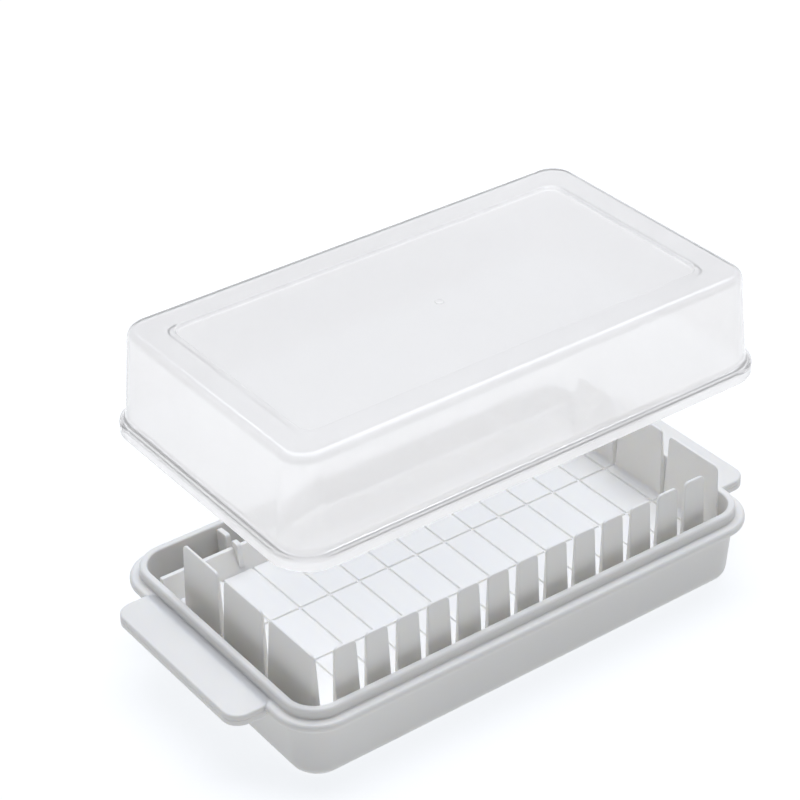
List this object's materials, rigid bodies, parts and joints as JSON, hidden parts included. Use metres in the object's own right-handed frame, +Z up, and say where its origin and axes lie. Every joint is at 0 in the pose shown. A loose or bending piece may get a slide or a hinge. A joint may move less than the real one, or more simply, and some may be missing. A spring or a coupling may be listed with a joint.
{
  "type": "butter keeper with knife guide",
  "caption": "White butter keeper: handled tray, lift-out slotted cutting guide that steers a knife, and a clear lid drawn lifted above it.",
  "frame": {"origin": "on the table under the middle of the tray", "axes": "+X along the tray towards one handle, +Y to the back, where the knife gap is, +Z up"},
  "size_m": [0.1796, 0.0934, 0.1005],
  "materials": {
    "white_plastic": "satin moulded white plastic",
    "clear_plastic": "clear moulded plastic, faintly frosted"
  },
  "bodies": {
    "tray": {"tray": "white_plastic"},
    "cutting_guide": {"cutting_guide": "white_plastic"},
    "lid": {"lid": "clear_plastic"}
  },
  "joints": [
    {"name": "guide_lift", "type": "slide", "parent": "tray", "child": "cutting_guide", "axis": [0, 0, 1], "range_m": [0, 0.03]},
    {"name": "lid_lift", "type": "slide", "parent": "cutting_guide", "child": "lid", "axis": [0, 0, 1], "range_m": [-0.048, 0.02]}
  ]
}
